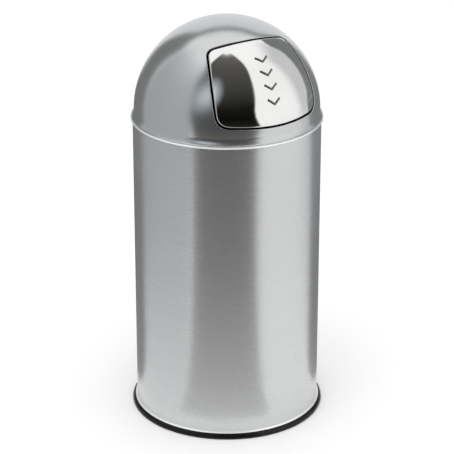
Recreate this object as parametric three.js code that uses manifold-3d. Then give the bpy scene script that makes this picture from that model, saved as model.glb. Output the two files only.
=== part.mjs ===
// Dome top waste receptacle: a rolled steel casing on a plastic base ring, a lift-out liner with
// two drop handles, and a lift-off dome whose sprung flap swings inwards.
// Millimetres, +Z up. The origin is on the floor, on the upright axis. The flap faces -Y.

import * as THREE from "three";
import { mergeVertices } from "three/addons/utils/BufferGeometryUtils.js";
import Module from "manifold-3d";

// Fits
const touch = 0.3; // between pieces that rest on each other or are welded together
const runningGap = 0.3; // round a rod or wire in its bore
const linerPlay = 5; // between the liner's rim and the casing's wall
const collarPlay = 0.7; // between the dome's collar and the casing's wall

// Casing
const casingRadius = 172; // outside
const casingWall = 1;
const casingTop = 573; // top of the rolled bead, above the floor
const casingBead = 2.3; // radius of the rolled bead

// Base ring
const ringWidth = 9; // how far the ring stands out from the casing
const ringHeight = 14.5;
const ringSole = 4; // thickness under the casing
const ringInset = 14; // how far the sole reaches in under the casing
const ringEdge = 2.2; // rounding at the floor
const ringLip = 0.7; // width of the flat along its upper edge

// Base plate
const plateWall = 1;
const plateRise = 7; // from the flange's lower edge to the underside of the plate

// Liner
const linerWall = 1;
const linerDrop = 28; // from the casing's top down to the liner's
const linerBead = 2.5;
const linerTaper = 8; // how much smaller the bottom radius is than the top
const linerBottomRise = 6; // from the liner's lower edge to the underside of its bottom

// Drop handles of the liner
const handleWire = 2.5; // radius
const handleHalfWidth = 36;
const handleDepth = 42;
const handleCorner = 9;
const handlePivotDrop = 25; // below the liner's top
const handlePivotInset = 11; // from the liner's wall
const handleGrip = 9; // how far each wire end reaches into the barrel

// Handle brackets
const barrelWall = 1.5;
const strapWidth = 28;
const strapWall = 1.5;
const strapHeight = 21; // above the pivot
const strapJoggle = 3; // height of each half of the bend from the barrel out to the wall
const strapCurl = 2; // how far the bend's corners are cut across
const rivetShank = 1.8;
const rivetHead = 3.6;
const rivetHeadHeight = 1.4;
const rivetSpacing = 16;
const rivetEdge = 6; // below the strap's top

// Dome
const domeInset = 2.5; // from the casing's outside in to the dome's
const domeWall = 1;
const domeLift = 13.2; // from the underside of the flange to the centre of the round
const flangeInset = 0.4; // from the casing's bead in to the dome's flange
const flareRadius = 18.5; // concave sweep from the round out to the flange

// Collar inside the dome
const collarWall = 1;
const collarRise = 8; // above the centre of the round
const collarDrop = 17; // below the flange
const collarChamfer = 2.5;
const collarShoulder = 1; // below the flange, where the collar starts to narrow
const collarJoggle = 6; // height of the narrowing

// Flap opening, drawn square to the direction that the flap's middle faces
const flapTilt = 33.5; // degrees above level
const openingTop = 81;
const openingBottom = -59; // at the lower corners
const openingSag = 22.5; // how far the middle of the lower edge drops below its corners
const openingHalfTop = 80;
const openingHalfBottom = 103;
const openingBulge = 7.5; // how far the middle of each side stands out past a straight line
const openingUpperCorner = 14;
const openingLowerCorner = 22;
const openingHem = 3; // depth of the opening's turned-in edge
const flapGap = 2; // between the flap's edge and the opening's
const flapHem = 5; // depth of the flap's turned-in edge

// Flap hinge
const hingeDrop = 15; // below the opening's upper edge
const hingeClear = 3; // from the rod's clips to the inside of the dome
const flapSwing = 75; // degrees
const hingeRod = 3; // radius
const stopRod = 2; // radius
const stopArm = 10.5; // from the hinge to the stop rod
const stopAngle = -20; // degrees, from the upward direction of the flap's face
const bracketOffset = 10; // outside of the opening's upper corner
const bracketWall = 1.5;
const bracketFoot = 12; // width of the foot
const bracketReachUp = 26; // above the hinge
const bracketReachDown = 8; // below the hinge
const bracketDepth = 14; // inside of the hinge
const bracketUpper = 8; // width of the plate's flat inner end
const bracketCorner = 4; // cut off the plate's lower corner
const earOffset = 24; // from the bracket in to the ear
const earWall = 1.5;
const earRadius = 15;
const earFoot = 14; // width of the foot
const earReachDown = 34; // below the hinge
const earArmStart = 20; // outside of the hinge, where the arm's inner edge leaves the foot
const bushWall = 1.7;
const bushFlange = 7.4; // radius
const bushFlangeWall = 1.2;
const bushPast = 1; // how far the bush stands out inside the ear
const clipWall = 2;
const clipRim = 2; // how far a clip stands out round its rod
const rodPast = 0.5; // how far a rod stands out past its clip

// Return springs
const springWire = 0.8; // radius
const springRadius = 4.6; // middle of the wire
const springTurns = 6;
const springLeg = 13; // length of each leg, from the hinge

// Facets
const roundSegments = 48;
const domeSteps = 9;
const flareSteps = 3;
const smallSegments = 12;
const wireSides = 6;
const handleSteps = 36;
const springSides = 5;
const springSteps = 8; // in each turn
const leastDetail = 0.02; // what joins and cuts leave that is smaller than this is smoothed away
const cutPast = 4; // how far a cutting form reaches past what it cuts

// Sizes that follow from the ones above
const casingInner = casingRadius - casingWall;
const casingBottom = ringSole + touch;
const ringRadius = casingRadius + ringWidth;
const plateTop = casingBottom + plateRise + plateWall;
const linerBottom = plateTop + touch;
const linerTop = casingTop - linerDrop;
const linerRadius = casingInner - linerPlay - 2 * linerBead + linerWall;
const flangeBottom = casingTop + touch;
const flangeTop = flangeBottom + domeWall;
const domeCentre = flangeBottom + domeLift;
const domeRadius = casingRadius - domeInset;
const domeInner = domeRadius - domeWall;
const domeSag = domeInner * (1 - Math.cos(Math.PI / 4 / domeSteps));
const flangeRadius = casingInner + 2 * casingBead - flangeInset;
const bracketPlace = openingHalfTop + bracketOffset;
const earPlace = bracketPlace - earOffset;
const clipPlace = bracketPlace + bracketWall + touch;
const rodEnd = clipPlace + clipWall + rodPast;
const hingeUp = openingTop - hingeDrop;
const hingeReach = Math.sqrt((domeInner - hingeClear) ** 2 - rodEnd ** 2) - hingeRod - clipRim;
const hingeOut = Math.sqrt(hingeReach ** 2 - hingeUp ** 2);
const degree = Math.PI / 180;

const wasm = await Module();
wasm.setup();

// --- Helpers

// The geometry's vertices merged, and triangles without area left out.
function cleaned(geometry) {
  const bare = geometry.clone();
  bare.deleteAttribute("normal");
  bare.deleteAttribute("uv");
  const merged = mergeVertices(bare, 1e-4);
  const kept = [];
  const index = merged.index.array;
  for (let i = 0; i < index.length; i += 3) {
    const [a, b, c] = [index[i], index[i + 1], index[i + 2]];
    if (a !== b && b !== c && c !== a) kept.push(a, b, c);
  }
  merged.setIndex(kept);
  return merged;
}

function toSolid(geometry) {
  const merged = cleaned(geometry);
  return new wasm.Manifold(
    new wasm.Mesh({
      numProp: 3,
      vertProperties: merged.attributes.position.array,
      triVerts: new Uint32Array(merged.index.array),
    }),
  );
}

function toGeometry(solid) {
  const { vertProperties, triVerts } = solid.simplify(leastDetail).getMesh();
  const geometry = new THREE.BufferGeometry();
  geometry.setAttribute("position", new THREE.BufferAttribute(vertProperties, 3));
  geometry.setIndex(new THREE.BufferAttribute(triVerts, 1));
  geometry.computeVertexNormals();
  return geometry;
}

// Twice the area that a profile encloses, positive when it runs counter-clockwise.
function turning(profile) {
  return profile.reduce((sum, [r, z], i) => {
    const [nextR, nextZ] = profile[(i + 1) % profile.length];
    return sum + r * nextZ - nextR * z;
  }, 0);
}

// A profile of [radius, height] pairs turned about the upright axis. A profile that doesn't
// start on the axis is closed into a ring.
function turned(profile, segments = roundSegments) {
  const points = turning(profile) > 0 ? [...profile] : [...profile].reverse();
  if (points[0][0] > 0) points.push(points[0]);
  const vectors = points.map(([r, z]) => new THREE.Vector2(r, z));
  return new THREE.LatheGeometry(vectors, segments).rotateX(Math.PI / 2);
}

// Points on an arc about [r, z], from one angle to another, in degrees from the outward direction.
function arc(r, z, radius, from, to, steps) {
  return Array.from({ length: steps + 1 }, (_, i) => {
    const angle = (from + ((to - from) * i) / steps) * degree;
    return [r + radius * Math.cos(angle), z + radius * Math.sin(angle)];
  });
}

// A cylinder along X, from one place to another.
function roundBar(radius, from, to, segments = smallSegments) {
  return new THREE.CylinderGeometry(radius, radius, to - from, segments)
    .rotateZ(-Math.PI / 2)
    .translate((from + to) / 2, 0, 0);
}

// A flat shape drawn in [y, z] and given a thickness along X.
function plateAlongX(shape, from, to) {
  const depth = to - from;
  return new THREE.ExtrudeGeometry(shape, { depth, bevelEnabled: false, curveSegments: 6 })
    .rotateZ(Math.PI / 2)
    .rotateY(Math.PI / 2)
    .translate(from, 0, 0);
}

function box(low, high) {
  const size = high.map((value, i) => value - low[i]);
  const middle = high.map((value, i) => (value + low[i]) / 2);
  return new THREE.BoxGeometry(...size).translate(...middle);
}

// A round tube along a curve.
function tube(path, radius, sides, steps) {
  const section = new THREE.Shape();
  for (let i = 0; i < sides; i += 1) {
    const angle = (2 * Math.PI * i) / sides;
    const point = [radius * Math.cos(angle), radius * Math.sin(angle)];
    if (i === 0) section.moveTo(...point);
    else section.lineTo(...point);
  }
  return new THREE.ExtrudeGeometry(section, { extrudePath: path, steps, bevelEnabled: false });
}

// A copy mirrored to the -X side, with its faces still pointing out.
function mirrored(geometry) {
  const copy = cleaned(geometry);
  copy.scale(-1, 1, 1);
  const index = copy.index.array;
  for (let i = 0; i < index.length; i += 3) {
    [index[i + 1], index[i + 2]] = [index[i + 2], index[i + 1]];
  }
  copy.computeVertexNormals();
  return copy;
}

function finish(color, roughness, metalness) {
  return { color, roughness, metalness };
}

const brushed = finish(0xb9bcbe, 0.38, 1);
const polished = finish(0xdcdee0, 0.06, 1);
const galvanised = finish(0x9ea3a6, 0.5, 0.9);
const zincPlated = finish(0xc0c3c6, 0.3, 1);
const blackPlastic = finish(0x141414, 0.35, 0);
const whitePlastic = finish(0xe6e6e0, 0.5, 0);

function piece(name, geometry, look) {
  const mesh = new THREE.Mesh(geometry, new THREE.MeshStandardMaterial(look));
  mesh.name = name;
  return mesh;
}

// --- Casing

function outerCasing() {
  const beadRadius = casingInner + casingBead;
  const beadHeight = casingTop - casingBead;
  const under = Math.acos((casingRadius - beadRadius) / casingBead) / degree;
  return turned([
    [casingInner, casingBottom],
    [casingRadius, casingBottom],
    ...arc(beadRadius, beadHeight, casingBead, -under, 180, 6),
  ]);
}

function baseRing() {
  const inner = casingRadius + touch;
  const crown = inner + ringLip;
  const shoulder = arc(0, 0, 1, 0, 90, 5).map(([across, up]) => [
    crown + (ringRadius - crown) * across,
    ringEdge + (ringHeight - ringEdge) * up,
  ]);
  return turned([
    [casingRadius - ringInset, 0],
    ...arc(ringRadius - ringEdge, ringEdge, ringEdge, -90, 0, 2),
    ...shoulder.slice(1),
    [inner, ringHeight],
    [inner, ringSole],
    [casingRadius - ringInset, ringSole],
  ]);
}

function basePlate() {
  const outer = casingInner - touch;
  const underside = casingBottom + plateRise;
  return turned([
    [0, underside],
    [outer - plateWall, underside],
    [outer - plateWall, casingBottom],
    [outer, casingBottom],
    [outer, underside],
    [outer - plateWall, plateTop],
    [0, plateTop],
  ]);
}

// --- Liner

// The liner's outer radius at a height.
function linerRadiusAt(z) {
  const share = (z - linerBottom) / (linerTop - linerBead - linerBottom);
  return linerRadius - linerTaper * (1 - share);
}

const handlePivotHeight = linerTop - handlePivotDrop;
const handlePivotPlace = linerRadiusAt(handlePivotHeight) - linerWall - handlePivotInset;
const rivetHeight = handlePivotHeight + strapHeight - rivetEdge;

// The flat strap is a chord of the round wall, so its back lies in from the wall by the rise of
// the chord and of one facet.
function strapBack() {
  const inner = linerRadiusAt(handlePivotHeight) - linerWall;
  const facet = inner * (1 - Math.cos(Math.PI / roundSegments));
  return Math.sqrt(inner ** 2 - (strapWidth / 2) ** 2) - facet - touch;
}

function rivetBores() {
  const radius = rivetShank + runningGap;
  const near = strapBack() - strapWall - cutPast;
  const far = linerRadius + cutPast;
  const bores = [];
  for (const [start, end] of [[near, far], [-far, -near]]) {
    for (const y of [-rivetSpacing / 2, rivetSpacing / 2]) {
      bores.push(toSolid(roundBar(radius, start, end).translate(0, y, rivetHeight)));
    }
  }
  return bores;
}

function linerShell() {
  const beadHeight = linerTop - linerBead;
  const beadRadius = linerRadius - linerWall + linerBead;
  const under = Math.acos((linerRadius - beadRadius) / linerBead) / degree;
  const shell = toSolid(
    turned([
      [linerRadius - linerTaper - linerWall, linerBottom],
      [linerRadius - linerTaper, linerBottom],
      ...arc(beadRadius, beadHeight, linerBead, -under, 180, 5),
    ]),
  );
  return toGeometry(rivetBores().reduce((left, bore) => left.subtract(bore), shell));
}

function linerBottomPan() {
  const outer = linerRadius - linerTaper - linerWall - touch;
  const underside = linerBottom + linerBottomRise;
  return turned([
    [0, underside],
    [outer - 2 * linerWall, underside],
    [outer - linerWall, underside - linerWall],
    [outer - linerWall, linerBottom],
    [outer, linerBottom],
    [outer, underside],
    [outer - linerWall, underside + linerWall],
    [0, underside + linerWall],
  ]);
}

// Strap on the liner's wall, bent in to a barrel that carries the handle. Drawn in [x, z] about
// the pivot of the +X side.
function handleBracket() {
  const barrel = handleWire + runningGap + barrelWall;
  const back = strapBack() - handlePivotPlace;
  const front = back - strapWall;
  const bend = barrel + strapJoggle;
  const strap = new THREE.Shape([
    new THREE.Vector2(0, barrel - strapWall),
    new THREE.Vector2(front - strapCurl, bend),
    new THREE.Vector2(front, bend + strapJoggle),
    new THREE.Vector2(front, strapHeight),
    new THREE.Vector2(back, strapHeight),
    new THREE.Vector2(back, bend + strapWall),
    new THREE.Vector2(back - strapWall, bend - strapCurl / 2),
    new THREE.Vector2(strapCurl, barrel - strapWall),
  ]);
  const halfWidth = strapWidth / 2;
  const options = { depth: strapWidth, bevelEnabled: false };
  const sheet = new THREE.ExtrudeGeometry(strap, options)
    .rotateX(Math.PI / 2)
    .translate(0, halfWidth, 0);
  const roll = new THREE.CylinderGeometry(barrel, barrel, strapWidth, smallSegments);
  const bore = new THREE.CylinderGeometry(
    handleWire + runningGap,
    handleWire + runningGap,
    2 * strapWidth,
    smallSegments,
  );
  const place = [handlePivotPlace, 0, handlePivotHeight];
  const bracket = toSolid(sheet).add(toSolid(roll)).subtract(toSolid(bore)).translate(place);
  return toGeometry(rivetBores().reduce((left, hole) => left.subtract(hole), bracket));
}

// Rivet along X, its inner head on the strap and its outer head on the liner's wall.
function strapRivet() {
  const inner = strapBack() - strapWall - touch;
  const outer = linerRadiusAt(rivetHeight) + touch;
  const head = (from, step) =>
    arc(0, 0, 1, 0, 90, 3).map(([across, up]) => [rivetHead * across, from + step * up]);
  return turned(
    [
      ...head(inner, -rivetHeadHeight).reverse(),
      [rivetShank, inner],
      [rivetShank, outer],
      ...head(outer, rivetHeadHeight),
    ],
    8,
  ).rotateY(Math.PI / 2);
}

// Wire loop that hangs from the barrel, drawn in [y, z] about the pivot.
function handleLoop() {
  const start = strapWidth / 2 - handleGrip;
  const corner = (y, z, turnY, turnZ) =>
    new THREE.QuadraticBezierCurve3(
      new THREE.Vector3(0, y - turnY[0] * handleCorner, z - turnZ[0] * handleCorner),
      new THREE.Vector3(0, y, z),
      new THREE.Vector3(0, y + turnY[1] * handleCorner, z + turnZ[1] * handleCorner),
    );
  const bends = [
    corner(handleHalfWidth, 0, [1, 0], [0, -1]),
    corner(handleHalfWidth, -handleDepth, [0, -1], [-1, 0]),
    corner(-handleHalfWidth, -handleDepth, [-1, 0], [0, 1]),
    corner(-handleHalfWidth, 0, [0, 1], [1, 0]),
  ];
  const path = new THREE.CurvePath();
  let last = new THREE.Vector3(0, start, 0);
  for (const bend of bends) {
    path.add(new THREE.LineCurve3(last, bend.v0));
    path.add(bend);
    last = bend.v2;
  }
  path.add(new THREE.LineCurve3(last, new THREE.Vector3(0, -start, 0)));
  return tube(path, handleWire, wireSides, handleSteps);
}

// --- Dome

// Points on the dome's round, from its pole down to its widest place.
function roundProfile(radius) {
  return arc(0, domeCentre, radius, 90, 0, domeSteps).map(([r, z], i) => [i === 0 ? 0 : r, z]);
}

// The solid inside the round of a given radius, with the same facets as the dome.
function domeCore(radius) {
  return toSolid(turned([...roundProfile(radius), [radius, 0], [0, 0]]));
}

function domeSheet() {
  const sweep = (radius, drop) => {
    const end = Math.asin(drop / radius) / degree;
    return arc(domeRadius + flareRadius, domeCentre, radius, 180, 180 + end, flareSteps).slice(1);
  };
  return toSolid(
    turned([
      ...roundProfile(domeRadius),
      ...sweep(flareRadius, domeCentre - flangeTop),
      ...arc(flangeRadius - domeWall / 2, flangeTop - domeWall / 2, domeWall / 2, 90, -90, 2),
      ...sweep(flareRadius + domeWall, domeCentre - flangeBottom).reverse(),
      ...roundProfile(domeInner).reverse(),
    ]),
  );
}

// The opening's outline, drawn inside itself by an inset. The sides and the lower edge are
// parabolas, the upper edge is straight, and each corner is a curve whose ends run on from the
// edges beside it.
function openingShape(inset) {
  const top = openingTop - inset;
  const bottom = openingBottom + inset;
  const halfTop = openingHalfTop - inset;
  const halfBottom = openingHalfBottom - inset;
  const upper = openingUpperCorner - inset;
  const lower = openingLowerCorner - inset;
  const height = top - bottom;
  const sideAt = (up) => {
    const share = (up - bottom) / height;
    const bulge = 4 * openingBulge * share * (1 - share);
    return halfBottom + (halfTop - halfBottom) * share + bulge;
  };
  const sideSlopeAt = (up) => {
    const share = (up - bottom) / height;
    return (halfTop - halfBottom + 4 * openingBulge * (1 - 2 * share)) / height;
  };
  const low = bottom + lower;
  const high = top - upper;
  const middle = (low + high) / 2;
  const sideMiddle = sideAt(low) + sideSlopeAt(low) * (middle - low);
  const sideTop = sideAt(high) + sideSlopeAt(high) * upper;
  const edgeEnd = halfBottom - lower;
  const reach = edgeEnd / halfBottom;
  const edge = bottom - openingSag * (1 - reach ** 2);
  const edgeSlope = (2 * openingSag * reach) / halfBottom;
  const lean = sideSlopeAt(low);
  const cornerAcross =
    (sideAt(low) + lean * (edge - edgeSlope * edgeEnd - low)) / (1 - lean * edgeSlope);
  const cornerUp = edge + edgeSlope * (cornerAcross - edgeEnd);
  const shape = new THREE.Shape();
  shape.moveTo(-edgeEnd, edge);
  shape.quadraticCurveTo(0, edge - edgeSlope * edgeEnd, edgeEnd, edge);
  shape.quadraticCurveTo(cornerAcross, cornerUp, sideAt(low), low);
  shape.quadraticCurveTo(sideMiddle, middle, sideAt(high), high);
  shape.quadraticCurveTo(sideTop, top, sideTop - upper, top);
  shape.lineTo(upper - sideTop, top);
  shape.quadraticCurveTo(-sideTop, top, -sideAt(high), high);
  shape.quadraticCurveTo(-sideMiddle, middle, -sideAt(low), low);
  shape.quadraticCurveTo(-cornerAcross, cornerUp, -edgeEnd, edge);
  return shape;
}

// Frames in the flap's face: X across it, Y up it, Z out of it.
const faceFrame = new THREE.Matrix4()
  .makeTranslation(0, 0, domeCentre)
  .multiply(new THREE.Matrix4().makeRotationX((90 - flapTilt) * degree));
const hingeFrame = faceFrame
  .clone()
  .multiply(new THREE.Matrix4().makeTranslation(0, hingeUp, hingeOut));

// The prism that cuts the opening, or the flap inside it, clear of the dome's far side.
function openingPrism(inset) {
  const start = 0.4 * domeRadius;
  const shape = openingShape(inset);
  const options = { depth: domeRadius, bevelEnabled: false, curveSegments: 6 };
  const geometry = new THREE.ExtrudeGeometry(shape, options);
  return toSolid(geometry.translate(0, 0, start).applyMatrix4(faceFrame));
}

// A wall round an outline, from the dome's sheet in to a depth.
function hem(inset, depth) {
  const wall = openingPrism(inset).subtract(openingPrism(inset + domeWall));
  return domeCore(domeInner + 0.5 * domeWall).subtract(domeCore(domeInner - depth)).intersect(wall);
}

function domeShell() {
  const sheet = domeSheet().subtract(openingPrism(0));
  return toGeometry(sheet.add(hem(-domeWall, openingHem)));
}

// Flap pressed to the dome's own round, with its edge turned in.
function flapSkin() {
  const sheet = domeSheet().intersect(openingPrism(flapGap));
  return toGeometry(sheet.add(hem(flapGap, flapHem)));
}

function domeCollar() {
  const low = flangeBottom - collarDrop;
  const wide = casingInner - collarPlay;
  const high = domeCentre + collarRise;
  const narrow = Math.sqrt(domeInner ** 2 - collarRise ** 2) - domeSag - touch;
  const joggleLow = flangeBottom - collarShoulder;
  const joggleHigh = joggleLow + collarJoggle;
  return turned([
    [wide - collarChamfer - collarWall, low],
    [wide - collarChamfer, low],
    [wide, low + collarChamfer],
    [wide, joggleLow],
    [narrow, joggleHigh],
    [narrow, high],
    [narrow - collarWall, high],
    [narrow - collarWall, joggleHigh - collarWall / 2],
    [wide - collarWall, joggleLow - collarWall / 2],
  ]);
}

// --- Flap hinge, drawn in [y, z] about the hinge: Y up the flap's face, Z out of it

const stopPlace = [
  stopArm * Math.cos(stopAngle * degree),
  stopArm * Math.sin(stopAngle * degree),
];

function inDome(geometry, radius) {
  return toSolid(geometry.applyMatrix4(hingeFrame)).intersect(domeCore(radius));
}

// The sheet that follows the inside of the dome between two corners, as a welded foot.
function foot(low, high, wall) {
  const outside = domeInner - touch;
  return inDome(box(low, high), outside).subtract(domeCore(outside - wall));
}

// Bracket of the +X side: a plate square to the rods, and a foot welded inside the dome.
function hingeBracket() {
  const outline = new THREE.Shape([
    new THREE.Vector2(-bracketReachDown, 2 * bracketReachUp),
    new THREE.Vector2(-bracketReachDown, -bracketCorner),
    new THREE.Vector2(-bracketCorner, -bracketReachDown),
    new THREE.Vector2(bracketReachUp - bracketUpper, -bracketDepth),
    new THREE.Vector2(bracketReachUp, -bracketDepth),
    new THREE.Vector2(bracketReachUp, 2 * bracketReachUp),
  ]);
  const outer = bracketPlace + bracketWall;
  const plate = inDome(plateAlongX(outline, bracketPlace, outer), domeInner - touch);
  const low = [bracketPlace, -bracketReachDown, -hingeOut];
  const high = [outer + bracketFoot, bracketReachUp, hingeOut];
  return toGeometry(
    plate
      .subtract(rodBore(hingeRod + runningGap, 0, 0))
      .subtract(rodBore(stopRod + runningGap, ...stopPlace))
      .add(foot(low, high, bracketWall)),
  );
}

function rodBore(radius, y, z) {
  const reach = 2 * bracketPlace;
  return toSolid(roundBar(radius, -reach, reach).translate(0, y, z).applyMatrix4(hingeFrame));
}

// The slot that the stop rod runs in: its ends stop the flap shut and open.
function stopSlot() {
  const half = stopRod + runningGap;
  const from = (stopAngle - flapSwing) * degree;
  const to = stopAngle * degree;
  const slot = new THREE.Shape();
  slot.absarc(0, 0, stopArm + half, from, to, false);
  slot.absarc(...stopPlace, half, to, to + Math.PI, false);
  slot.absarc(0, 0, stopArm - half, to, from, true);
  slot.absarc(
    stopArm * Math.cos(from),
    stopArm * Math.sin(from),
    half,
    from + Math.PI,
    from + 2 * Math.PI,
    false,
  );
  return slot;
}

// Ear of the +X side: carries the flap on the hinge rod, and holds the slot of the stop rod.
function flapEar() {
  const reach = 2 * earReachDown;
  const arm = new THREE.Shape([
    new THREE.Vector2(-earReachDown, reach),
    new THREE.Vector2(-earReachDown, earArmStart),
    new THREE.Vector2(-0.8 * earRadius, -earRadius / 3),
    new THREE.Vector2(earRadius / 4, earRadius / 3),
    new THREE.Vector2(earRadius / 4, reach),
  ]);
  const outer = earPlace + earWall;
  const disc = roundBar(earRadius, earPlace, outer, 20);
  const low = [outer - earWall - earFoot, -earReachDown, -hingeOut];
  const high = [outer, 0, hingeOut];
  const slot = plateAlongX(stopSlot(), earPlace - cutPast, outer + cutPast);
  return toGeometry(
    inDome(plateAlongX(arm, earPlace, outer), domeInner - touch)
      .add(toSolid(disc.applyMatrix4(hingeFrame)))
      .add(foot(low, high, earWall))
      .subtract(rodBore(hingeRod + 2 * runningGap + bushWall, 0, 0))
      .subtract(toSolid(slot.applyMatrix4(hingeFrame))),
  );
}

// Flanged sleeve in the ear of the +X side, turning on the hinge rod.
function hingeBush() {
  const inner = hingeRod + runningGap;
  const outer = inner + bushWall;
  const flangeStart = earPlace + earWall + touch;
  const flangeEnd = flangeStart + bushFlangeWall;
  return turned(
    [
      [inner, earPlace - bushPast],
      [outer, earPlace - bushPast],
      [outer, flangeStart],
      [bushFlange, flangeStart],
      [bushFlange, flangeEnd],
      [inner, flangeEnd],
    ],
    smallSegments,
  ).rotateY(Math.PI / 2);
}

// Push-on clip of the +X end of a rod.
function rodClip(rod) {
  const inner = rod + runningGap;
  return turned(
    [
      [inner, clipPlace],
      [rod + clipRim, clipPlace],
      [rod + clipRim, clipPlace + 0.6 * clipWall],
      [rod + 0.6 * clipRim, clipPlace + clipWall],
      [inner, clipPlace + clipWall],
    ],
    smallSegments,
  ).rotateY(Math.PI / 2);
}

// The run of the +X return spring: a leg beside the ear, the turns round the rod, and a leg that
// leans just enough to lie against the stop rod.
class SpringRun extends THREE.Curve {
  constructor() {
    super();
    this.arcLengthDivisions = 800;
    this.start = earPlace + earWall + 2 * touch + bushFlangeWall + springWire;
    this.end = bracketPlace - touch - springWire;
    const stand = (springRadius - stopRod - springWire - touch) / stopArm;
    this.lean = Math.acos(stand) - (90 + stopAngle) * degree;
    this.sweep = 2 * Math.PI * springTurns - this.lean;
    this.legShare = springLeg / (2 * springLeg + springRadius * this.sweep);
  }

  getPoint(t, target = new THREE.Vector3()) {
    const share = THREE.MathUtils.clamp((t - this.legShare) / (1 - 2 * this.legShare), 0, 1);
    const angle = share * this.sweep - Math.PI / 2;
    const x = THREE.MathUtils.lerp(this.start, this.end, share);
    const past = Math.min(t / this.legShare - 1, 0) + Math.max(1 - (1 - t) / this.legShare, 0);
    const y = springRadius * Math.cos(angle) - springLeg * past * Math.sin(angle);
    const z = springRadius * Math.sin(angle) + springLeg * past * Math.cos(angle);
    return target.set(x, y, z);
  }
}

function returnSpring() {
  return tube(new SpringRun(), springWire, springSides, springSteps * (springTurns + 1));
}

// The least distance between the surfaces of the spring's own runs, measured on points that lie
// at least half a turn apart.
function springGap() {
  const perTurn = 60;
  const points = new SpringRun().getSpacedPoints(perTurn * springTurns);
  const apart = perTurn / 2;
  let least = Infinity;
  for (let i = 0; i < points.length; i += 1) {
    for (let j = i + apart; j < points.length; j += 1) {
      least = Math.min(least, points[i].distanceTo(points[j]));
    }
  }
  return least - 2 * springWire;
}

// --- Assembly

const receptacle = new THREE.Group();

const casing = new THREE.Group();
casing.add(piece("outer_casing", outerCasing(), brushed));
casing.add(piece("base_ring", baseRing(), blackPlastic));
casing.add(piece("base_plate", basePlate(), galvanised));
receptacle.add(casing);

const liner = new THREE.Group();
liner.add(piece("liner_shell", linerShell(), galvanised));
liner.add(piece("liner_bottom", linerBottomPan(), galvanised));
const sides = [
  { name: "right", turn: 0 },
  { name: "left", turn: Math.PI },
];
for (const side of sides) {
  const half = new THREE.Group();
  half.rotation.z = side.turn;
  half.add(piece(`handle_bracket_${side.name}`, handleBracket(), galvanised));
  for (const [place, y] of [["rear", rivetSpacing / 2], ["front", -rivetSpacing / 2]]) {
    const end = side.turn === 0 ? place : { rear: "front", front: "rear" }[place];
    const rivet = piece(`handle_rivet_${side.name}_${end}`, strapRivet(), zincPlated);
    rivet.position.set(0, y, rivetHeight);
    half.add(rivet);
  }
  const loop = piece(`liner_handle_${side.name}`, handleLoop(), zincPlated);
  loop.position.set(handlePivotPlace, 0, handlePivotHeight);
  half.add(loop);
  liner.add(half);
}
receptacle.add(liner);

const dome = new THREE.Group();
dome.add(piece("dome_shell", domeShell(), brushed));
dome.add(piece("dome_collar", domeCollar(), galvanised));
dome.add(piece("flap_skin", flapSkin(), polished));

const hinge = new THREE.Group();
hinge.applyMatrix4(hingeFrame);
hinge.add(piece("hinge_rod", roundBar(hingeRod, -rodEnd, rodEnd), zincPlated));
const stop = piece("stop_rod", roundBar(stopRod, -rodEnd, rodEnd), zincPlated);
stop.position.set(0, ...stopPlace);
hinge.add(stop);
for (const side of ["right", "left"]) {
  const onSide = (geometry) => (side === "right" ? geometry : mirrored(geometry));
  dome.add(piece(`hinge_bracket_${side}`, onSide(hingeBracket()), zincPlated));
  dome.add(piece(`flap_ear_${side}`, onSide(flapEar()), zincPlated));
  hinge.add(piece(`hinge_bush_${side}`, onSide(hingeBush()), whitePlastic));
  hinge.add(piece(`hinge_clip_${side}`, onSide(rodClip(hingeRod)), zincPlated));
  const stopClip = piece(`stop_clip_${side}`, onSide(rodClip(stopRod)), zincPlated);
  stopClip.position.set(0, ...stopPlace);
  hinge.add(stopClip);
  hinge.add(piece(`return_spring_${side}`, onSide(returnSpring()), zincPlated));
}
dome.add(hinge);
receptacle.add(dome);

console.log(`least gap of a return spring to itself: ${springGap().toFixed(2)} mm`);

export default receptacle;
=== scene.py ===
import math
import bmesh
import bpy
import numpy as np
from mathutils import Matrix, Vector


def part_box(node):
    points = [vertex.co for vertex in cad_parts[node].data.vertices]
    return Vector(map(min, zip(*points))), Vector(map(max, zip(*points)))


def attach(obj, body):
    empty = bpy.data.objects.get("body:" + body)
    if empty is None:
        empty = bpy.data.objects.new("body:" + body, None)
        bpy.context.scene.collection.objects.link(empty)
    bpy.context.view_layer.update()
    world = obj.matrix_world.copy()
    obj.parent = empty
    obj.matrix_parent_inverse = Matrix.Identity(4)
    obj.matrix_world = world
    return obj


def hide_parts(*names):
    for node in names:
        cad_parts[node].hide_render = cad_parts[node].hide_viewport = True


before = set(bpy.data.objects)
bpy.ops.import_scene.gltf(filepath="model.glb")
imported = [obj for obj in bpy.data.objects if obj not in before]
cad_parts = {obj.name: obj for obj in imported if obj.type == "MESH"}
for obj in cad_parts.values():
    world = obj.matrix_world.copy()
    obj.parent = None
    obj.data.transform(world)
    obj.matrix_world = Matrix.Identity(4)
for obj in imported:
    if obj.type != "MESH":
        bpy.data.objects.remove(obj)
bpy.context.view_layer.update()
print("frame loaded")


def lowAndTop(node):
    low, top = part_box(node)
    return low.z, top.z


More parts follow.
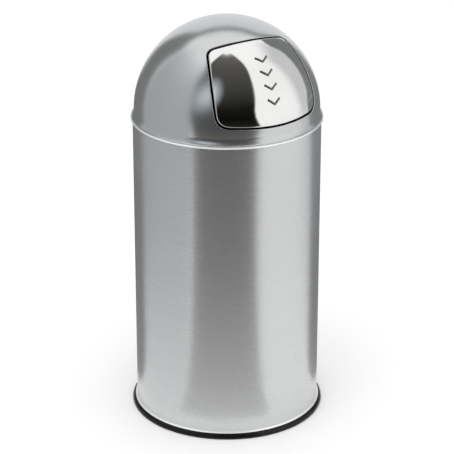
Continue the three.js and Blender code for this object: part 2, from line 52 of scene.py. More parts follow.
# Points of a grid joined into a closed surface. Neighbours in the grid share a four-sided face,
# the columns always run all the way round, and the rows do where the section is a closed loop.
# A row that shrinks to one point becomes a pole. Faces are turned by the sign of the volume.
# Where finishes are given, they name the material of each row of faces.
def surfaceFromGrid(name, grid, wrapRows=True, finishes=None):
    rows, columns = grid.shape[:2]
    index = np.arange(rows * columns).reshape(rows, columns)
    below = np.roll(index, -1, axis=0)
    if not wrapRows:
        index, below = index[:-1], below[:-1]
    quads = np.stack(
        [index, np.roll(index, -1, axis=1), np.roll(below, -1, axis=1), below], axis=-1
    ).reshape(-1, 4)
    points = grid.reshape(-1, 3)
    a, b, c, d = (points[quads[:, i]] for i in range(4))
    volume = np.einsum("ij,ij", a, np.cross(b, c)) + np.einsum("ij,ij", a, np.cross(c, d))
    if volume < 0:
        quads = quads[:, ::-1]
    mesh = bpy.data.meshes.new(name)
    mesh.from_pydata(points.tolist(), [], quads.tolist())
    if finishes is not None:
        rowFinish = np.repeat(np.asarray(finishes, np.int32)[: len(index)], columns)
        mesh.polygons.foreach_set("material_index", rowFinish)
    spread = np.ptp(grid, axis=1).max(axis=1)
    if (spread < 1e-7).any():
        work = bmesh.new()
        work.from_mesh(mesh)
        bmesh.ops.remove_doubles(work, verts=work.verts, dist=1e-7)
        work.to_mesh(mesh)
        work.free()
    mesh.shade_smooth()
    piece = bpy.data.objects.new(name, mesh)
    bpy.context.scene.collection.objects.link(piece)
    return piece


# Corners of an outline rounded by parabolas: along each side the curve starts one radius from
# the corner, and one more point a little further out keeps the flat beside it flat.
def roundedCorners(corners, radius, closed=False, steps=5):
    corners = np.array(corners, float)
    radius = np.broadcast_to(np.array(radius, float), len(corners))[:, None]
    before = np.roll(corners, 1, axis=0) - corners
    after = np.roll(corners, -1, axis=0) - corners
    lengthBefore = np.maximum(np.linalg.norm(before, axis=1), 1e-9)[:, None]
    lengthAfter = np.maximum(np.linalg.norm(after, axis=1), 1e-9)[:, None]
    reach = np.minimum(radius, 0.4 * np.minimum(lengthBefore, lengthAfter))
    start = corners + before / lengthBefore * reach
    end = corners + after / lengthAfter * reach
    share = np.linspace(0, 1, steps + 1)[None, :, None]
    bend = (
        (1 - share) ** 2 * start[:, None]
        + 2 * share * (1 - share) * corners[:, None]
        + share**2 * end[:, None]
    )
    leadIn = (corners + before / lengthBefore * reach * 1.15)[:, None]
    leadOut = (corners + after / lengthAfter * reach * 1.15)[:, None]
    path = np.concatenate([leadIn, bend, leadOut], axis=1)
    if closed:
        return path.reshape(-1, corners.shape[1])
    inner = path[1:-1].reshape(-1, corners.shape[1])
    return np.concatenate([corners[:1], inner, corners[-1:]])


# An arc of radius and height about a centre, from one angle to another in degrees.
def arcPoints(centre, radius, start, end, steps):
    angle = np.radians(np.linspace(start, end, steps + 1))
    return np.stack([centre[0] + radius * np.cos(angle), centre[1] + radius * np.sin(angle)], 1)


# A profile of radius and height turned about the upright axis. One that starts and ends on the
# axis closes at its poles, and any other closes on itself.
def turned(name, profile, segments=256, finishes=None):
    profile = np.asarray(profile, float)
    angle = np.arange(segments) / segments * 2 * math.pi
    radius, height = profile[:, :1], profile[:, 1:]
    grid = np.stack(
        [radius * np.cos(angle), radius * np.sin(angle), height + 0 * angle], axis=-1
    )
    return surfaceFromGrid(name, grid, profile[0, 0] > 1e-6, finishes)


# The same about a line along X that passes through a place: height becomes the way along X, and
# the piece of the other side is its mirror image.
def turnedAlongX(name, profile, place, side=1, segments=32):
    profile = np.asarray(profile, float)
    angle = np.arange(segments) / segments * 2 * math.pi
    radius, along = profile[:, :1], profile[:, 1:]
    grid = np.stack(
        [
            side * (along + 0 * angle),
            place[0] + radius * np.cos(angle),
            place[1] + radius * np.sin(angle),
        ],
        axis=-1,
    )
    return surfaceFromGrid(name, grid, wrapRows=profile[0, 0] > 1e-6)


# A round section carried along a path. The section's own axes are the path's direction crossed
# with a fixed direction, and that crossed back with the path. Each end closes in a low dome.
def tubeAlong(name, path, radius, fixed, sides=16):
    path = np.asarray(path, float)
    run = np.gradient(path, axis=0)
    run /= np.linalg.norm(run, axis=1)[:, None]
    across = np.cross(run, fixed)
    across /= np.linalg.norm(across, axis=1)[:, None]
    up = np.cross(across, run)
    angle = np.arange(sides) / sides * 2 * math.pi
    ring = np.cos(angle)[None, :, None] * across[:, None] + np.sin(angle)[None, :, None] * up[:, None]
    cap = np.radians([90, 60, 30])
    bulge = 0.5 * radius * np.sin(cap)[:, None]
    first = (path[0] - run[0] * bulge)[:, None] + radius * np.cos(cap)[:, None, None] * ring[:1]
    last = (path[-1] + run[-1] * bulge)[:, None] + radius * np.cos(cap)[:, None, None] * ring[-1:]
    grid = np.concatenate([first, path[:, None] + radius * ring, last[::-1]])
    return surfaceFromGrid(name, grid, wrapRows=False)


def newMaterial(name):
    material = bpy.data.materials.new(name)
    material.use_nodes = True
    nodes, links = material.node_tree.nodes, material.node_tree.links
    return material, nodes, links, nodes["Principled BSDF"]


def addNode(nodes, kind, **settings):
    node = nodes.new(kind)
    for key, value in settings.items():
        if key in node.inputs:
            node.inputs[key].default_value = value
        else:
            setattr(node, key, value)
    return node


# Noise whose grain is stretched by a scale along each axis of the object.
def stretchedNoise(nodes, links, scale, detail=3.0, rough=0.6):
    place = addNode(nodes, "ShaderNodeTexCoord")
    stretch = addNode(nodes, "ShaderNodeMapping")
    stretch.inputs["Scale"].default_value = scale
    noise = addNode(nodes, "ShaderNodeTexNoise", Scale=1.0, Detail=detail, Roughness=rough)
    links.new(place.outputs["Object"], stretch.inputs["Vector"])
    links.new(stretch.outputs["Vector"], noise.inputs["Vector"])
    return noise.outputs["Fac"]


def mapped(nodes, links, value, low, high, start=0.3, end=0.7):
    span = addNode(nodes, "ShaderNodeMapRange")
    span.inputs["From Min"].default_value = start
    span.inputs["From Max"].default_value = end
    span.inputs["To Min"].default_value = low
    span.inputs["To Max"].default_value = high
    links.new(value, span.inputs["Value"])
    return span.outputs["Result"]


def colourBetween(nodes, links, value, first, second):
    ramp = addNode(nodes, "ShaderNodeValToRGB")
    ramp.color_ramp.elements[0].position = 0.3
    ramp.color_ramp.elements[0].color = (*first, 1)
    ramp.color_ramp.elements[1].position = 0.7
    ramp.color_ramp.elements[1].color = (*second, 1)
    links.new(value, ramp.inputs["Fac"])
    return ramp.outputs["Color"]


def bumped(nodes, links, shader, height, strength, distance):
    bump = addNode(nodes, "ShaderNodeBump", Strength=strength, Distance=distance)
    links.new(height, bump.inputs["Height"])
    links.new(bump.outputs["Normal"], shader.inputs["Normal"])


# Steel sheet brushed round the upright axis: fine level streaks roughen it and lift it a little,
# broad ones shade it, and a small share of its light scatters out of the scratches.
def brushedSteel(name, roughness, spread, light=0.66, metal=0.9):
    material, nodes, links, shader = newMaterial(name)
    streaks = stretchedNoise(nodes, links, (45, 45, 3200), detail=3)
    bands = stretchedNoise(nodes, links, (3, 3, 22), detail=5)
    dark = (light * 0.975, light * 0.985, light * 0.99)
    pale = (light * 1.01, light * 1.02, light * 1.03)
    links.new(colourBetween(nodes, links, bands, dark, pale), shader.inputs["Base Color"])
    links.new(
        mapped(nodes, links, streaks, roughness - 0.015, roughness + 0.02),
        shader.inputs["Roughness"],
    )
    bumped(nodes, links, shader, streaks, 0.012, 0.00001)
    tangent = addNode(nodes, "ShaderNodeTangent", direction_type="RADIAL", axis="Z")
    links.new(tangent.outputs["Tangent"], shader.inputs["Tangent"])
    shader.inputs["Metallic"].default_value = metal
    shader.inputs["Anisotropic"].default_value = spread
    shader.inputs["Anisotropic Rotation"].default_value = 0.25
    return material


# Mirror-polished steel with the faint haze and hairlines of a door that hands push, and a darker grey
# along the pressed lines, which the mesh gives as an attribute.
def polishedSteel(name):
    material, nodes, links, shader = newMaterial(name)
    haze = stretchedNoise(nodes, links, (22, 22, 22), detail=5, rough=0.55)
    hairs = stretchedNoise(nodes, links, (12, 12, 900), detail=3)
    shade = colourBetween(nodes, links, haze, (0.86, 0.86, 0.85), (0.91, 0.91, 0.90))
    pressed = addNode(nodes, "ShaderNodeAttribute", attribute_name="pressed")
    markTone = addNode(nodes, "ShaderNodeMix", data_type="RGBA")
    markTone.inputs["B"].default_value = (0.13, 0.13, 0.125, 1)
    links.new(pressed.outputs["Fac"], markTone.inputs["Factor"])
    links.new(shade, markTone.inputs["A"])
    links.new(markTone.outputs["Result"], shader.inputs["Base Color"])
    links.new(mapped(nodes, links, haze, 0.05, 0.09), shader.inputs["Roughness"])
    bumped(nodes, links, shader, hairs, 0.05, 0.00001)
    shader.inputs["Metallic"].default_value = 1
    return material


# The unpolished inside of formed sheet, with rolling marks and dull patches, in a grey darker than
# the steel's own: painted shade.
def dullSteelPaintedShade(name, dark, pale):
    material, nodes, links, shader = newMaterial(name)
    patches = stretchedNoise(nodes, links, (18, 18, 30), detail=5)
    marks = stretchedNoise(nodes, links, (60, 60, 900), detail=3)
    links.new(colourBetween(nodes, links, patches, dark, pale), shader.inputs["Base Color"])
    links.new(mapped(nodes, links, marks, 0.42, 0.58), shader.inputs["Roughness"])
    bumped(nodes, links, shader, marks, 0.15, 0.00005)
    shader.inputs["Metallic"].default_value = 0.9
    return material


# Hot-dip galvanised sheet: crystals of slightly different grey, each with its own dullness.
def galvanisedSteel(name):
    material, nodes, links, shader = newMaterial(name)
    place = addNode(nodes, "ShaderNodeTexCoord")
    crystals = addNode(nodes, "ShaderNodeTexVoronoi", Scale=95.0)
    links.new(place.outputs["Object"], crystals.inputs["Vector"])
    tint = addNode(nodes, "ShaderNodeSeparateColor")
    links.new(crystals.outputs["Color"], tint.inputs["Color"])
    shade = colourBetween(nodes, links, tint.outputs["Red"], (0.40, 0.42, 0.43), (0.56, 0.58, 0.59))
    links.new(shade, shader.inputs["Base Color"])
    dullness = mapped(nodes, links, tint.outputs["Green"], 0.36, 0.52, 0, 1)
    links.new(dullness, shader.inputs["Roughness"])
    grain = stretchedNoise(nodes, links, (320, 320, 320), detail=4)
    bumped(nodes, links, shader, grain, 0.15, 0.0001)
    shader.inputs["Metallic"].default_value = 0.92
    return material


# Bright zinc plate on small steel pieces, a little cloudy.
def zincPlate(name):
    material, nodes, links, shader = newMaterial(name)
    cloud = stretchedNoise(nodes, links, (130, 130, 130), detail=4)
    shade = colourBetween(nodes, links, cloud, (0.62, 0.635, 0.65), (0.74, 0.745, 0.75))
    links.new(shade, shader.inputs["Base Color"])
    links.new(mapped(nodes, links, cloud, 0.22, 0.36), shader.inputs["Roughness"])
    bumped(nodes, links, shader, cloud, 0.08, 0.0001)
    shader.inputs["Metallic"].default_value = 1
    return material


# Moulded plastic: a fine spark-eroded grain, and scuffs that dull it.
def mouldedPlastic(name, dark, pale, roughness, gloss=0.5):
    material, nodes, links, shader = newMaterial(name)
    grain = stretchedNoise(nodes, links, (1900, 1900, 1900), detail=2)
    scuffs = stretchedNoise(nodes, links, (40, 40, 90), detail=6, rough=0.7)
    links.new(colourBetween(nodes, links, scuffs, dark, pale), shader.inputs["Base Color"])
    dullness = mapped(nodes, links, scuffs, roughness - 0.05, roughness + 0.08)
    links.new(dullness, shader.inputs["Roughness"])
    bumped(nodes, links, shader, grain, 0.1, 0.00008)
    shader.inputs["Specular IOR Level"].default_value = gloss
    return material


casingSteel = brushedSteel("brushed casing steel", roughness=0.28, spread=0.2)
domeSteel = brushedSteel("spun dome steel", roughness=0.22, spread=0.1, metal=0.93)
# A paler, half-diffuse copy of the brushed steel for the casing's bead and ledge: a painted
# highlight, not a different finish.
rolledSteelPaintedHighlight = brushedSteel("rolled rim steel with painted highlight", roughness=0.18, spread=0, light=0.95, metal=0.4)
flapSteel = polishedSteel("polished flap steel")
# Inside faces: rougher unpolished sheet, and a darker grey that is painted shade.
insideSteelPaintedShade = dullSteelPaintedShade("inside of the sheet in painted shade", (0.16, 0.165, 0.17), (0.24, 0.245, 0.25))
# Turned-in hems in near black: painted shade of the narrow gaps round the flap, not a colour of the
# steel.
hemPaintedShade = dullSteelPaintedShade("hem in painted shade", (0.012, 0.012, 0.012), (0.022, 0.022, 0.022))
galvanised = galvanisedSteel("galvanised sheet")
zinc = zincPlate("zinc plate")
blackPlastic = mouldedPlastic("black moulded plastic", (0.003,) * 3, (0.005,) * 3, 0.24, 0.3)
whiteNylon = mouldedPlastic("white nylon", (0.70, 0.70, 0.66), (0.78, 0.78, 0.74), 0.45)
print("materials made")


# Materials and body of one finished piece; the slot it is given is not used. A new mesh has no
# materials, and its list is never cleared, because that sets every face back to the first finish.
def settle(piece, materials, body, slot, *nodes):
    for material in materials if isinstance(materials, tuple) else (materials,):
        piece.data.materials.append(material)
    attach(piece, body)
    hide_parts(*nodes)
    return piece


fit = dict(touch=0.0003, running=0.0003)
sides = (("right", 1), ("left", -1))

casing = dict(radius=0.172, wall=0.001, bead=0.0023, ledge=0.0033, ledgeLow=0.0101, ledgeHigh=0.0120)
casing["low"], casing["top"] = lowAndTop("outer_casing")


# A straight wall: a narrow ledge stands out over the ring, and the upper edge is rolled outwards,
# flattened on top so that it sheds water.
def casingProfile():
    inner, outer = casing["radius"] - casing["wall"], casing["radius"]
    centre = (inner + casing["bead"], casing["top"] - casing["bead"])
    under = math.degrees(math.acos((outer - centre[0]) / casing["bead"]))
    low, high = casing["ledgeLow"], casing["ledgeHigh"]
    foot = roundedCorners(
        [(inner, casing["low"] + 0.02), (inner, casing["low"]), (outer, casing["low"]),
         (outer, low - 0.0002)],
        0.0003,
    )
    ledge = roundedCorners(
        [(outer, low), (outer + casing["ledge"], low), (outer + casing["ledge"], low + 0.0005),
         (outer, high)],
        0.0004,
    )
    wall = [(outer, high + 0.0004), (outer, centre[1] - 0.02), (outer, centre[1] - 0.004)]
    bead = arcPoints(centre, casing["bead"], -under, 10, 10)
    top = roundedCorners(
        [bead[-1], (bead[-1][0], centre[1] + 0.0006), (centre[0] - 0.0002, casing["top"]),
         (inner, centre[1] + 0.0006), (inner, centre[1])],
        0.0005,
    )
    parts = [foot, ledge, wall, bead, top[1:]]
    # The ledge, the bead and the top take the second finish, which is a painted highlight.
    finishes = np.repeat([0, 1, 0, 1, 1], [len(part) for part in parts])
    finishes[-1] = 0  # the row that runs down the inside of the wall
    return np.concatenate(parts), finishes


casingWall, casingFinishes = casingProfile()
settle(
    turned("casing_sheet", casingWall, finishes=casingFinishes),
    (casingSteel, rolledSteelPaintedHighlight),
    "casing",
    "brushed_steel",
    "outer_casing",
)

ring = dict(width=0.009, sole=0.004, inset=0.014, edge=0.0022, lip=0.0007, shoulder=0.0098)
ring["low"] = lowAndTop("base_ring")[0]


# The ring's section: a flat sole, a quarter of an ellipse up to the casing, and a seat inside.
def ringProfile():
    inner = casing["radius"] + fit["touch"]
    outer = casing["radius"] + ring["width"]
    crown = inner + ring["lip"]
    angle = np.radians(np.linspace(0, 90, 15))
    shoulder = np.stack(
        [
            crown + (outer - crown) * np.cos(angle),
            ring["edge"] + (ring["shoulder"] - ring["edge"]) * np.sin(angle),
        ],
        1,
    )
    floorEdge = arcPoints((outer - ring["edge"], ring["edge"]), ring["edge"], -90, -12, 5)
    inside = roundedCorners(
        [
            (crown, ring["shoulder"]),
            (inner, ring["shoulder"]),
            (inner, ring["sole"]),
            (casing["radius"] - ring["inset"], ring["sole"]),
            (casing["radius"] - ring["inset"], ring["low"]),
            (outer - ring["edge"], ring["low"]),
        ],
        0.0004,
    )
    return np.concatenate([floorEdge, shoulder, inside[1:-1]])


settle(
    turned("base_ring_moulding", ringProfile()), blackPlastic, "casing", "black_plastic", "base_ring"
)


# A disc with a flange turned down round its edge.
def flangedDisc(outer, low, top, wall, bend):
    corners = [
        (0, top - wall),
        (outer - wall, top - wall),
        (outer - wall, low),
        (outer, low),
        (outer, top),
        (0, top),
    ]
    return roundedCorners(corners, [0, bend * 0.4, wall * 0.3, wall * 0.3, bend, 0])


plateRadius = casing["radius"] - casing["wall"] - fit["touch"]
settle(
    turned("base_plate_disc", flangedDisc(plateRadius, *lowAndTop("base_plate"), 0.001, 0.002)),
    galvanised,
    "casing",
    "galvanised_steel",
    "base_plate",
)
print("casing made")

liner = dict(radius=0.162, wall=0.001, bead=0.0025, taper=0.008)
liner["low"], liner["top"] = lowAndTop("liner_shell")


# The liner's outer radius at a height: it widens evenly up to the rim's bead.
def linerRadiusAt(height):
    share = (height - liner["low"]) / (liner["top"] - liner["bead"] - liner["low"])
    return liner["radius"] - liner["taper"] * (1 - share)


# A wall that widens upwards to a rim rolled outwards.
def linerProfile():
    wide, wall = liner["radius"], liner["wall"]
    centre = (wide - wall + liner["bead"], liner["top"] - liner["bead"])
    under = math.degrees(math.acos((wide - centre[0]) / liner["bead"]))
    narrow = wide - liner["taper"]
    start = (narrow - wall, liner["low"] + 0.01)
    foot = [start, (narrow - wall, liner["low"]), (narrow, liner["low"]),
            (narrow, liner["low"] + 0.006)]
    rim = arcPoints(centre, liner["bead"], -under, 180, 16)
    return np.concatenate([roundedCorners(foot, 0.0003), rim])


settle(turned("liner_wall", linerProfile()), galvanised, "liner", "galvanised_steel", "liner_shell")
panRadius = liner["radius"] - liner["taper"] - liner["wall"] - fit["touch"]
settle(
    turned("liner_pan", flangedDisc(panRadius, *lowAndTop("liner_bottom"), liner["wall"], 0.0025)),
    galvanised,
    "liner",
    "galvanised_steel",
    "liner_bottom",
)

handle = dict(wire=0.0025, halfWidth=0.036, depth=0.042, corner=0.009, grip=0.009)
handle["height"] = 0.520  # the swing's own axis, so the wire turns true inside its eye
handle["place"] = 0.1497
strap = dict(width=0.028, wall=0.0015, rise=0.021, barrelWall=0.0015)
strap["back"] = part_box("handle_bracket_right")[1].x
rivet = dict(shank=0.0018, head=0.0036, headHeight=0.0014, spacing=0.016, edge=0.006)


# The wire's path in the upright plane of the pivot: out of the barrel, down, across, and back.
def handlePath(side):
    start = strap["width"] / 2 - handle["grip"]
    half, depth = handle["halfWidth"], handle["depth"]
    corners = [(0, start, 0), (0, half, 0), (0, half, -depth), (0, -half, -depth), (0, -half, 0),
               (0, -start, 0)]
    path = roundedCorners(corners, handle["corner"], steps=14)
    return path + np.array([side * handle["place"], 0, handle["height"]])


# A strap rolled into an eye: the middle line of the sheet goes nearly once round the wire and
# then up the wall, the two faces lie half a wall to each side, and each cut edge is rounded.
def strapGrid(side):
    eye = handle["wire"] + fit["running"] + strap["barrelWall"] / 2
    wallAt = strap["back"] - handle["place"] - strap["wall"] / 2
    turn = np.radians(np.linspace(-285, 0, 40))
    curl = np.stack([eye * np.cos(turn), eye * np.sin(turn)], 1)
    bend = roundedCorners(
        [curl[-1], (eye, 0.0042), (wallAt, 0.0105), (wallAt, strap["rise"])], 0.003, steps=8
    )
    middle = np.concatenate([curl[:-1], bend])
    run = np.gradient(middle, axis=0)
    run /= np.linalg.norm(run, axis=1)[:, None]
    out = np.stack([-run[:, 1], run[:, 0]], 1)
    outerFace, innerFace = middle + out * strap["wall"] / 2, middle - out * strap["wall"] / 2
    loop = np.concatenate([outerFace, innerFace[::-1]])
    line = np.concatenate([middle, middle[::-1]])
    half, ease = strap["width"] / 2, 0.0003
    stations = [(-half, 0.0), (-half, 0.8), (-half + ease, 1.0),
                (half - ease, 1.0), (half, 0.8), (half, 0.0)]
    rows = []
    for place, share in stations:
        section = line + (loop - line) * share
        rows.append(
            np.stack(
                [
                    side * (handle["place"] + section[:, 0]),
                    np.full(len(section), place),
                    handle["height"] + section[:, 1],
                ],
                1,
            )
        )
    return np.array(rows)


# A rivet with two domed heads, each a quarter of an ellipse in section.
def rivetProfile():
    height = handle["height"] + strap["rise"] - rivet["edge"]
    inner = strap["back"] - strap["wall"] - fit["touch"]
    outer = linerRadiusAt(height) + fit["touch"]
    angle = np.radians(np.linspace(90, 0, 9))
    head = np.stack([rivet["head"] * np.cos(angle), rivet["headHeight"] * np.sin(angle)], 1)
    first = np.stack([head[:, 0], inner - head[:, 1]], 1)
    last = np.stack([head[:, 0], outer + head[:, 1]], 1)[::-1]
    return np.concatenate([first, [(rivet["shank"], inner), (rivet["shank"], outer)], last]), height


for sideName, side in sides:
    settle(
        tubeAlong(f"liner_handle_wire_{sideName}", handlePath(side), handle["wire"], (1, 0, 0)),
        zinc,
        f"{sideName}_handle",
        "zinc_plated",
        f"liner_handle_{sideName}",
    )
    settle(
        surfaceFromGrid(f"handle_strap_{sideName}", strapGrid(side), wrapRows=False),
        galvanised,
        "liner",
        "galvanised_steel",
        f"handle_bracket_{sideName}",
    )
    for end, y in (("front", -rivet["spacing"] / 2), ("rear", rivet["spacing"] / 2)):
        profile, height = rivetProfile()
        settle(
            turnedAlongX(f"strap_rivet_{sideName}_{end}", profile, (y, height), side),
            zinc,
            "liner",
            "zinc_plated",
            f"handle_rivet_{sideName}_{end}",
        )
print("liner made")

dome = dict(radius=0.1695, wall=0.001, lift=0.0132, flange=0.1752, flare=0.0185)
dome["low"], dome["top"] = lowAndTop("dome_shell")
dome["centre"] = dome["low"] + dome["lift"]
opening = dict(
    tilt=math.radians(33.5),
    top=0.081,
    bottom=-0.059,
    sag=0.0225,
    halfTop=0.080,
    halfBottom=0.103,
    bulge=0.0075,
    upperCorner=0.014,
    lowerCorner=0.022,
    hem=0.003,
    gap=0.0031,
    flapHem=0.005,
)


# The opening's outline, inset evenly: the sides and the lower edge are parabolas, the upper edge
# is straight, and each corner is a parabola whose ends run on from the edges beside it. It comes
# back as evenly spaced points and their outward normals, in the face's own plane.
def openingOutline(inset, count):
    top, bottom, sag = opening["top"], opening["bottom"], opening["sag"]
    halfTop, halfBottom, bulge = opening["halfTop"], opening["halfBottom"], opening["bulge"]
    share = np.linspace(0, 1, 80)[:-1, None]

    def side(up):
        part = (up - bottom) / (top - bottom)
        return halfBottom + (halfTop - halfBottom) * part + 4 * bulge * part * (1 - part)

    def sideSlope(up):
        part = (up - bottom) / (top - bottom)
        return (halfTop - halfBottom + 4 * bulge * (1 - 2 * part)) / (top - bottom)

    def bend(start, control, end):
        start, control, end = (np.array(p, float) for p in (start, control, end))
        return (1 - share) ** 2 * start + 2 * share * (1 - share) * control + share**2 * end

    low, high = bottom + opening["lowerCorner"], top - opening["upperCorner"]
    edgeEnd = halfBottom - opening["lowerCorner"]
    edge = bottom - sag * (1 - (edgeEnd / halfBottom) ** 2)
    edgeSlope = 2 * sag * edgeEnd / halfBottom**2
    lean = sideSlope(low)
    cornerAcross = (side(low) + lean * (edge - edgeSlope * edgeEnd - low)) / (1 - lean * edgeSlope)
    cornerUp = edge + edgeSlope * (cornerAcross - edgeEnd)
    sideMiddle = (side(low) + lean * (high - low) / 2, (low + high) / 2)
    sideTop = side(high) + sideSlope(high) * opening["upperCorner"]
    topEnd = sideTop - opening["upperCorner"]
    right = np.concatenate(
        [
            bend((edgeEnd, edge), (cornerAcross, cornerUp), (side(low), low)),
            bend((side(low), low), sideMiddle, (side(high), high)),
            bend((side(high), high), (sideTop, top), (topEnd, top)),
        ]
    )
    across = (1 - share) * np.array([topEnd, top]) + share * np.array([-topEnd, top])
    left = right[::-1] * (-1, 1)
    below = bend((-edgeEnd, edge), (0, edge - edgeSlope * edgeEnd), (edgeEnd, edge))
    dense = np.concatenate([right, across, left, below])
    dense = dense[np.linalg.norm(dense - np.roll(dense, 1, axis=0), axis=1) > 1e-6]
    run = np.roll(dense, -1, axis=0) - np.roll(dense, 1, axis=0)
    normal = np.stack([run[:, 1], -run[:, 0]], 1)
    normal /= np.linalg.norm(normal, axis=1)[:, None]
    dense = dense - normal * inset
    step = np.linalg.norm(np.roll(dense, -1, axis=0) - dense, axis=1)
    travelled = np.concatenate([[0], np.cumsum(step)])
    wanted = np.arange(count) / count * travelled[-1]

    def even(values):
        looped = np.concatenate([values, values[:1]])
        return np.stack([np.interp(wanted, travelled, looped[:, i]) for i in range(2)], 1)

    points, normal = even(dense), even(normal)
    return points, normal / np.linalg.norm(normal, axis=1)[:, None]


# From the face's own axes to the frame's: across, up the face, and out of it.
def fromFaceAxes(across, up, out):
    y = up * math.sin(opening["tilt"]) - out * math.cos(opening["tilt"])
    z = up * math.cos(opening["tilt"]) + out * math.sin(opening["tilt"]) + dome["centre"]
    return np.stack([across, y, z], axis=-1)


# The same for a point given by its place in the face and its distance from the dome's centre.
def fromFace(across, up, distance):
    return fromFaceAxes(across, up, np.sqrt(np.maximum(distance**2 - across**2 - up**2, 0)))


# Rows that run over the round from a curve near the opening to the level circle where the round
# ends, each along the great circle that starts out from the middle of the face.
def rowsOverRound(start, radius, rows):
    heading = np.arctan2(start[:, 1], start[:, 0])
    near = np.arcsin(np.hypot(start[:, 0], start[:, 1]) / radius)
    far = np.arctan2(math.sin(opening["tilt"]), -np.sin(heading) * math.cos(opening["tilt"]))
    share = np.linspace(0, 1, rows)[:, None]
    angle = near + (far - near) * share
    across = radius * np.sin(angle) * np.cos(heading)
    up = radius * np.sin(angle) * np.sin(heading)
    return fromFaceAxes(across, up, radius * np.cos(angle))


# The edge of a sheet turned in to a depth: a quarter round from the face, then the outside of
# the hem, its lower edge, its inside, and out to the sheet's inner face.
def hemRows(outline, away, edge, hem, wall):
    def rim(offset, depth):
        place = outline + away * offset
        return fromFace(place[:, 0], place[:, 1], dome["radius"] - depth)[None]

    rolled = [
        rim(edge * (1 - math.sin(a)), edge * (1 - math.cos(a)))
        for a in np.radians(np.linspace(0, 90, 9))
    ]
    outside = [rim(0, hem * 0.5), rim(0, hem - 0.0003), rim(0.25 * wall, hem)]
    inside = [rim(0.75 * wall, hem), rim(wall, hem - 0.0003), rim(wall, 1.5 * wall)]
    return rolled, outside + inside


# The whole shell as one closed section carried round the opening: the turned-in edge, the outer
# round, the sweep out to the flange, the flange's rolled edge, and back along the inside.
def domeGrid(count=420, rows=64, edge=0.0015):
    outline, normal = openingOutline(0, count)
    wall = dome["wall"]
    rolled, hem = hemRows(outline, normal, edge, opening["hem"], wall)
    outer = rowsOverRound(outline + normal * edge, dome["radius"], rows)
    inner = rowsOverRound(outline + normal * 1.6 * wall, dome["radius"] - wall, rows)

    def levelRows(profile, last):
        heading = last[:, :2] / np.linalg.norm(last[:, :2], axis=1)[:, None]
        flat = profile[:, None, :1] * heading[None]
        height = np.broadcast_to(profile[:, None, 1:], (*flat.shape[:2], 1))
        return np.concatenate([flat, height], 2)

    def sweep(radius, drop, steps=9):
        end = math.degrees(math.asin(drop / radius))
        centre = (dome["radius"] + dome["flare"], dome["centre"])
        return arcPoints(centre, radius, 180, 180 + end, steps)[1:]

    outerSweep = sweep(dome["flare"], dome["centre"] - dome["low"] - wall)
    lip = arcPoints((dome["flange"] - wall / 2, dome["low"] + wall / 2), wall / 2, 90, -90, 8)
    innerSweep = sweep(dome["flare"] + wall, dome["centre"] - dome["low"])[::-1]
    low = levelRows(np.concatenate([outerSweep, lip]), outer[-1])
    back = levelRows(innerSweep, inner[-1])
    parts = [*rolled[::-1], outer[1:], low[:-9], low[-9:], back, inner[::-1], *hem[::-1]]
    # Inside rows take the second finish, partly painted shade; the hem rows take the third, which is
    # painted shade.
    finishes = [0] * len(rolled) + [0, 0, 0, 1, 1] + [2] * len(hem)
    return np.concatenate(parts), np.repeat(finishes, [len(part) for part in parts])


domePoints, domeFinishes = domeGrid()
settle(
    surfaceFromGrid("dome_sheet", domePoints, finishes=domeFinishes),
    (domeSteel, insideSteelPaintedShade, hemPaintedShade),
    "dome",
    "brushed_steel",
    "dome_shell",
)

collar = dict(
    wall=0.001,
    play=0.0007,
    drop=0.017,
    rise=0.008,
    chamfer=0.0025,
    shoulder=0.001,
    joggle=0.006,
    clear=0.0009,
)


# A ring of sheet that drops into the casing: its lower edge is drawn in to find the way, and its
# upper part steps in to lie against the dome.
def collarProfile():
    wide = casing["radius"] - casing["wall"] - collar["play"]
    wall = collar["wall"]
    low, high = dome["low"] - collar["drop"], dome["centre"] + collar["rise"]
    roundInside = dome["radius"] - dome["wall"]
    narrow = math.sqrt(roundInside ** 2 - collar["rise"] ** 2) - collar["clear"]
    joggleLow = dome["low"] - collar["shoulder"]
    joggleHigh = joggleLow + collar["joggle"]
    corners = [
        (wide - collar["chamfer"] - wall, low),
        (wide - collar["chamfer"], low),
        (wide, low + collar["chamfer"]),
        (wide, joggleLow),
        (narrow, joggleHigh),
        (narrow, high),
        (narrow - wall, high),
        (narrow - wall, joggleHigh - wall / 2),
        (wide - wall, joggleLow - wall / 2),
        (wide - wall, low + collar["chamfer"]),
    ]
    radius = [0.0003, 0.0003, 0.0015, 0.002, 0.002, 0.0003, 0.0003, 0.002, 0.002, 0.0015]
    return roundedCorners(corners, radius, closed=True)


settle(
    turned("collar_ring", collarProfile()), galvanised, "dome", "galvanised_steel", "dome_collar"
)
print("dome made")

arrows = dict(
    middles=(0.0375, 0.0115, -0.0145, -0.0405),
    halfWidth=0.0105,
    rise=0.0085,
    halfLine=0.0014,
    height=0.0009,
    toneGain=1.6,
)


# How far the press lifts the sheet, as a share: distance from a bent line, turned into a smooth
# ridge, for four plain arrowheads that show where to push.
def pressedMarks(across, up):
    lift = np.zeros_like(across)
    slant = arrows["rise"] / arrows["halfWidth"]
    for middle in arrows["middles"]:
        side = np.clip(np.abs(across), 0, arrows["halfWidth"])
        beyond = np.abs(across) - side
        offLine = (up - middle + arrows["rise"] / 2 - side * slant) / math.hypot(1, slant)
        share = np.clip(1 - np.hypot(offLine, beyond) / (2 * arrows["halfLine"]), 0, 1)
        lift = np.maximum(lift, share**2 * (3 - 2 * share))
    return lift


